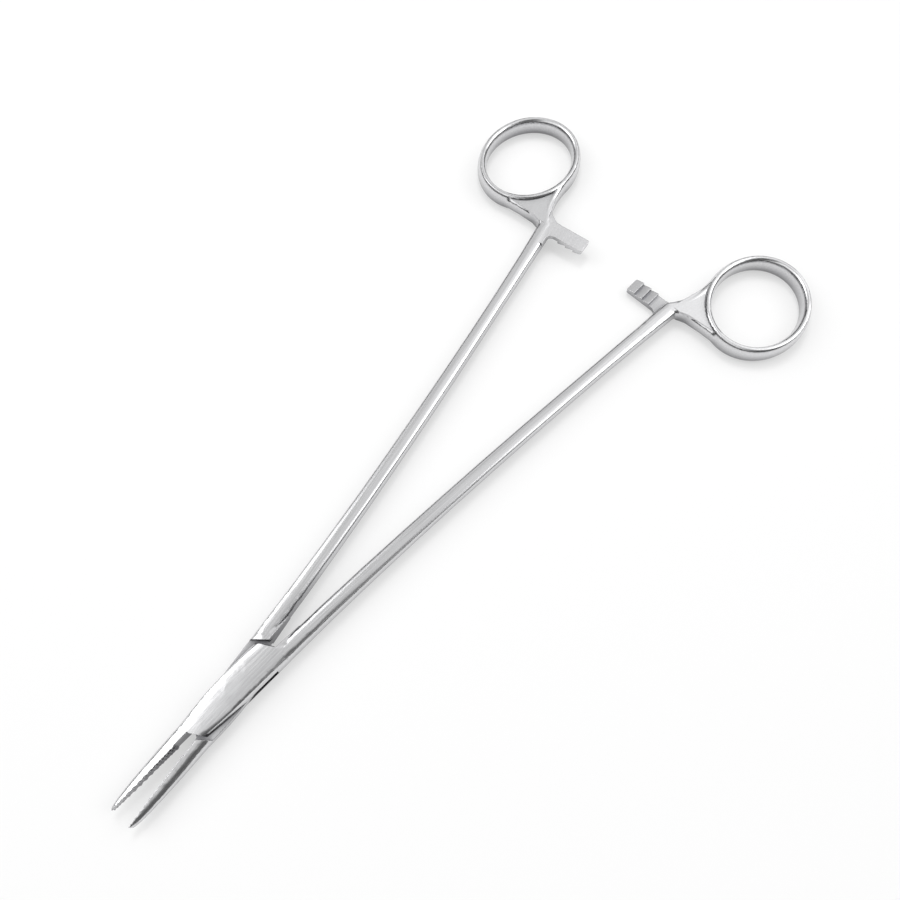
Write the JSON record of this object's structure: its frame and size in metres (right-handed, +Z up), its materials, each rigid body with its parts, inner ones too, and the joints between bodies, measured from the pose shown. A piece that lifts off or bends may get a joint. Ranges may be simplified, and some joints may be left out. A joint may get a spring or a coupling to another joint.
{
  "type": "needle holder",
  "caption": "Long straight surgical needle holder with a box lock, serrated jaws, ratchet bars and finger rings.",
  "frame": {"origin": "on the pivot axis, on the flat underside of the box lock", "axes": "+X from the pivot towards the finger rings, midway between them at rest; +Z up along the pivot pin; +Y towards the male half's finger ring"},
  "size_m": [0.2386, 0.1186, 0.0072],
  "materials": {
    "steel": "satin"
  },
  "bodies": {
    "female": {"female_half": "steel", "pivot_pin": "steel"},
    "male": {"male_half": "steel"}
  },
  "joints": [
    {"name": "jaw_hinge", "type": "hinge", "parent": "female", "child": "male", "pos_m": [0, 0, 0], "axis": [0, 0, 1], "range_deg": [-8.1, 51.9]}
  ]
}
